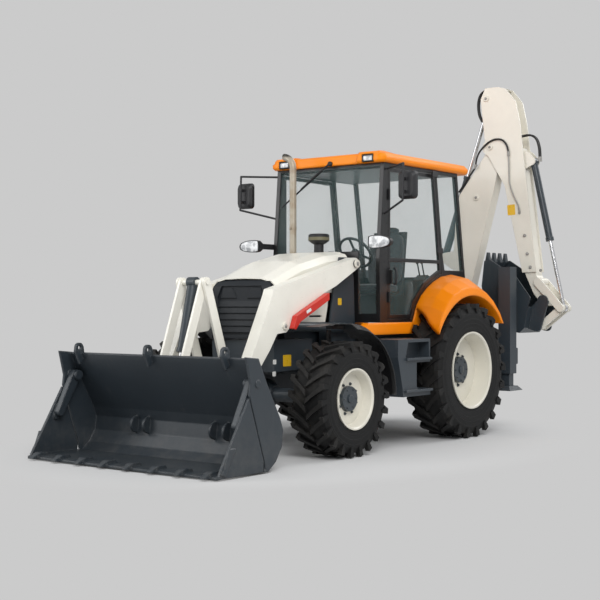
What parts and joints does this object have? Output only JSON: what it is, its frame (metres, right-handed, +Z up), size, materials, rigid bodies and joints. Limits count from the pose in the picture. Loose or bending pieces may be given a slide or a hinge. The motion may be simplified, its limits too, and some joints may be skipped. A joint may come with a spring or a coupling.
{
  "type": "backhoe loader",
  "caption": "Wheeled backhoe loader with a split front bucket on lifting arms, a glazed cab, and a telescopic backhoe stored slewed to its left between two stabiliser legs.",
  "frame": {"origin": "point on the ground below the middle of the rear axle", "axes": "+X forward towards the loader bucket, +Y to the machine's left, +Z up"},
  "size_m": [5.877, 2.723, 3.9897],
  "materials": {
    "cream_paint": "satin",
    "orange_paint": "satin",
    "slate_paint": "satin",
    "black_paint": "satin",
    "red_paint": "satin",
    "tyre_rubber": "matte",
    "window_glass": "gloss",
    "ram_chrome": "polished",
    "black_plastic": "matte",
    "lamp_plastic": "gloss",
    "cloth": "woven",
    "tan_steel": "satin"
  },
  "bodies": {
    "chassis": {"main_frame": "slate_paint", "engine_block": "slate_paint", "nose_grille": "slate_paint", "side_panels": "cream_paint", "exhaust_stack": "tan_steel", "pre_cleaner": "black_plastic", "front_axle": "slate_paint", "rear_axle": "slate_paint", "step_tanks": "slate_paint", "cab_frame": "black_paint", "cab_roof": "orange_paint", "cab_glass": "window_glass", "rear_fenders": "orange_paint", "cab_controls": "black_plastic", "seat_frame": "black_plastic", "seat_cushions": "cloth", "mirrors": "black_plastic", "lamps": "lamp_plastic"},
    "bonnet": {"bonnet": "cream_paint"},
    "left_door": {"left_door": "black_paint", "left_door_glass": "window_glass"},
    "right_door": {"right_door": "black_paint", "right_door_glass": "window_glass"},
    "left_knuckle": {"left_knuckle": "black_paint"},
    "right_knuckle": {"right_knuckle": "black_paint"},
    "front_left_wheel": {"front_left_tyre": "tyre_rubber", "front_left_rim": "cream_paint"},
    "front_right_wheel": {"front_right_tyre": "tyre_rubber", "front_right_rim": "cream_paint"},
    "rear_left_wheel": {"rear_left_tyre": "tyre_rubber", "rear_left_rim": "cream_paint"},
    "rear_right_wheel": {"rear_right_tyre": "tyre_rubber", "rear_right_rim": "cream_paint"},
    "loader": {"loader_arms": "cream_paint", "safety_strut": "red_paint"},
    "lift_barrels": {"lift_barrels": "slate_paint"},
    "lift_rods": {"lift_rods": "ram_chrome"},
    "tilt_levers": {"tilt_levers": "cream_paint"},
    "tilt_links": {"tilt_links": "cream_paint"},
    "tilt_barrel": {"tilt_barrel": "slate_paint"},
    "tilt_rod": {"tilt_rod": "ram_chrome"},
    "bucket": {"bucket_shell": "slate_paint"},
    "jaw": {"bucket_jaw": "slate_paint"},
    "carriage": {"side_carriage": "slate_paint"},
    "kingpost": {"kingpost": "cream_paint"},
    "boom": {"boom": "cream_paint"},
    "boom_barrel": {"boom_barrel": "slate_paint"},
    "boom_rod": {"boom_rod": "ram_chrome"},
    "dipper": {"dipper": "cream_paint"},
    "crowd_barrel": {"crowd_barrel": "slate_paint"},
    "crowd_rod": {"crowd_rod": "ram_chrome"},
    "dipper_slide": {"dipper_slide": "cream_paint"},
    "curl_barrel": {"curl_barrel": "slate_paint"},
    "curl_rod": {"curl_rod": "ram_chrome"},
    "rocker": {"rocker": "cream_paint"},
    "tipping_link": {"tipping_link": "cream_paint"},
    "hoe_bucket": {"hoe_bucket": "slate_paint"},
    "left_leg": {"left_stabiliser": "slate_paint"},
    "right_leg": {"right_stabiliser": "slate_paint"}
  },
  "joints": [
    {"name": "bonnet_hinge", "type": "hinge", "parent": "chassis", "child": "bonnet", "pos_m": [1.262, 0, 1.944], "axis": [0, -1, 0], "range_deg": [0, 30]},
    {"name": "left_door_hinge", "type": "hinge", "parent": "chassis", "child": "left_door", "pos_m": [0.96, 0.71, 1.9], "axis": [0, 0, -1], "range_deg": [0, 75]},
    {"name": "right_door_hinge", "type": "hinge", "parent": "chassis", "child": "right_door", "pos_m": [0.96, -0.71, 1.9], "axis": [0, 0, 1], "range_deg": [0, 75]},
    {"name": "left_steer", "type": "hinge", "parent": "chassis", "child": "left_knuckle", "pos_m": [2.165, 0.68, 0.545], "axis": [0, 0, 1], "range_deg": [-35, 35]},
    {"name": "right_steer", "type": "hinge", "parent": "chassis", "child": "right_knuckle", "pos_m": [2.165, -0.68, 0.545], "axis": [0, 0, 1], "range_deg": [-35, 35]},
    {"name": "front_left_spin", "type": "hinge", "parent": "left_knuckle", "child": "front_left_wheel", "pos_m": [2.165, 0.958, 0.545], "axis": [0, 1, 0], "continuous": true},
    {"name": "front_right_spin", "type": "hinge", "parent": "right_knuckle", "child": "front_right_wheel", "pos_m": [2.165, -0.958, 0.545], "axis": [0, 1, 0], "continuous": true},
    {"name": "rear_left_spin", "type": "hinge", "parent": "chassis", "child": "rear_left_wheel", "pos_m": [0, 0.938, 0.722], "axis": [0, 1, 0], "continuous": true},
    {"name": "rear_right_spin", "type": "hinge", "parent": "chassis", "child": "rear_right_wheel", "pos_m": [0, -0.938, 0.722], "axis": [0, 1, 0], "continuous": true},
    {"name": "loader_lift", "type": "hinge", "parent": "chassis", "child": "loader", "pos_m": [1.345, 0, 1.837], "axis": [0, -1, 0], "range_deg": [0, 80]},
    {"name": "lift_barrel_turn", "type": "hinge", "parent": "chassis", "child": "lift_barrels", "pos_m": [1.4, 0, 1.19], "axis": [0, -1, 0], "range_deg": [-2, 68]},
    {"name": "lift_rod_slide", "type": "slide", "parent": "lift_barrels", "child": "lift_rods", "axis": [0.9996, 0, 0.0293], "range_m": [-0.01, 0.8]},
    {"name": "bucket_tilt", "type": "hinge", "parent": "loader", "child": "bucket", "pos_m": [3.2, 0, 0.3], "axis": [0, -1, 0], "range_deg": [-90, 35]},
    {"name": "tilt_lever_turn", "type": "hinge", "parent": "loader", "child": "tilt_levers", "pos_m": [2.87, 0, 0.8], "axis": [0, -1, 0], "range_deg": [-72, 28]},
    {"name": "tilt_link_turn", "type": "hinge", "parent": "tilt_levers", "child": "tilt_links", "pos_m": [3.15, 0, 1.63], "axis": [0, -1, 0], "range_deg": [-24, 58]},
    {"name": "tilt_barrel_turn", "type": "hinge", "parent": "tilt_levers", "child": "tilt_barrel", "pos_m": [3.15, 0, 1.63], "axis": [0, -1, 0], "range_deg": [-20, 48]},
    {"name": "tilt_rod_slide", "type": "slide", "parent": "tilt_barrel", "child": "tilt_rod", "axis": [0.2203, 0, -0.9754], "range_m": [-0.22, 0.09]},
    {"name": "jaw_open", "type": "hinge", "parent": "bucket", "child": "jaw", "pos_m": [3.61, 0, 0.76], "axis": [0, -1, 0], "range_deg": [0, 60]},
    {"name": "hoe_sideshift", "type": "slide", "parent": "chassis", "child": "carriage", "axis": [0, 1, 0], "range_m": [-0.2, 0.9]},
    {"name": "hoe_swing", "type": "hinge", "parent": "carriage", "child": "kingpost", "pos_m": [-1.45, -0.35, 0.9], "axis": [0, 0, 1], "range_deg": [0, 180]},
    {"name": "boom_lower", "type": "hinge", "parent": "kingpost", "child": "boom", "pos_m": [-1.45, -0.02, 0.78], "axis": [-1, 0, 0], "range_deg": [0, 100]},
    {"name": "boom_barrel_turn", "type": "hinge", "parent": "kingpost", "child": "boom_barrel", "pos_m": [-1.45, -0.19, 0.98], "axis": [-1, 0, 0], "range_deg": [-1, 99]},
    {"name": "boom_rod_slide", "type": "slide", "parent": "boom_barrel", "child": "boom_rod", "axis": [0, 0.3245, 0.9459], "range_m": [-0.01, 0.4]},
    {"name": "dipper_open", "type": "hinge", "parent": "boom", "child": "dipper", "pos_m": [-1.45, 0.597, 3.285], "axis": [1, 0, 0], "range_deg": [0, 95]},
    {"name": "crowd_barrel_turn", "type": "hinge", "parent": "boom", "child": "crowd_barrel", "pos_m": [-1.45, -0.08, 2], "axis": [1, 0, 0], "range_deg": [-1, 17]},
    {"name": "crowd_rod_slide", "type": "slide", "parent": "crowd_barrel", "child": "crowd_rod", "axis": [0, 0.3187, 0.9479], "range_m": [-0.77, 0.01]},
    {"name": "dipper_extend", "type": "slide", "parent": "dipper", "child": "dipper_slide", "axis": [0, 0.1205, -0.9927], "range_m": [0, 1]},
    {"name": "hoe_bucket_tilt", "type": "hinge", "parent": "dipper_slide", "child": "hoe_bucket", "pos_m": [-1.45, 1.295, 1.468], "axis": [1, 0, 0], "range_deg": [0, 140]},
    {"name": "rocker_turn", "type": "hinge", "parent": "dipper_slide", "child": "rocker", "pos_m": [-1.45, 1.219, 1.68], "axis": [1, 0, 0], "range_deg": [-1, 95]},
    {"name": "tipping_link_turn", "type": "hinge", "parent": "rocker", "child": "tipping_link", "pos_m": [-1.45, 1.5, 1.382], "axis": [1, 0, 0], "range_deg": [-32, 1]},
    {"name": "curl_barrel_turn", "type": "hinge", "parent": "dipper_slide", "child": "curl_barrel", "pos_m": [-1.45, 1.12, 3.086], "axis": [1, 0, 0], "range_deg": [-1, 11]},
    {"name": "curl_rod_slide", "type": "slide", "parent": "curl_barrel", "child": "curl_rod", "axis": [0, 0.2177, -0.976], "range_m": [-0.56, 0.01]},
    {"name": "left_leg_down", "type": "slide", "parent": "chassis", "child": "left_leg", "axis": [0, 0, -1], "range_m": [0, 0.55]},
    {"name": "right_leg_down", "type": "slide", "parent": "chassis", "child": "right_leg", "axis": [0, 0, -1], "range_m": [0, 0.55]}
  ],
  "couplings": [
    {"joint": "right_steer", "follows": "left_steer", "ratio": 1},
    {"joint": "lift_barrel_turn", "follows": "loader_lift", "ratio": 0.8239},
    {"joint": "lift_rod_slide", "follows": "loader_lift", "m_per_rad": 0.5601},
    {"joint": "tilt_lever_turn", "follows": "bucket_tilt", "ratio": 0.7616},
    {"joint": "tilt_link_turn", "follows": "bucket_tilt", "ratio": -0.6205},
    {"joint": "tilt_barrel_turn", "follows": "bucket_tilt", "ratio": -0.5097},
    {"joint": "tilt_rod_slide", "follows": "bucket_tilt", "m_per_rad": 0.13572},
    {"joint": "boom_barrel_turn", "follows": "boom_lower", "ratio": 0.9744},
    {"joint": "boom_rod_slide", "follows": "boom_lower", "m_per_rad": 0.22574},
    {"joint": "crowd_barrel_turn", "follows": "dipper_open", "ratio": 0.1661},
    {"joint": "crowd_rod_slide", "follows": "dipper_open", "m_per_rad": -0.45578},
    {"joint": "rocker_turn", "follows": "hoe_bucket_tilt", "ratio": 0.6657},
    {"joint": "tipping_link_turn", "follows": "hoe_bucket_tilt", "ratio": -0.22},
    {"joint": "curl_barrel_turn", "follows": "hoe_bucket_tilt", "ratio": 0.069},
    {"joint": "curl_rod_slide", "follows": "hoe_bucket_tilt", "m_per_rad": -0.22473}
  ]
}
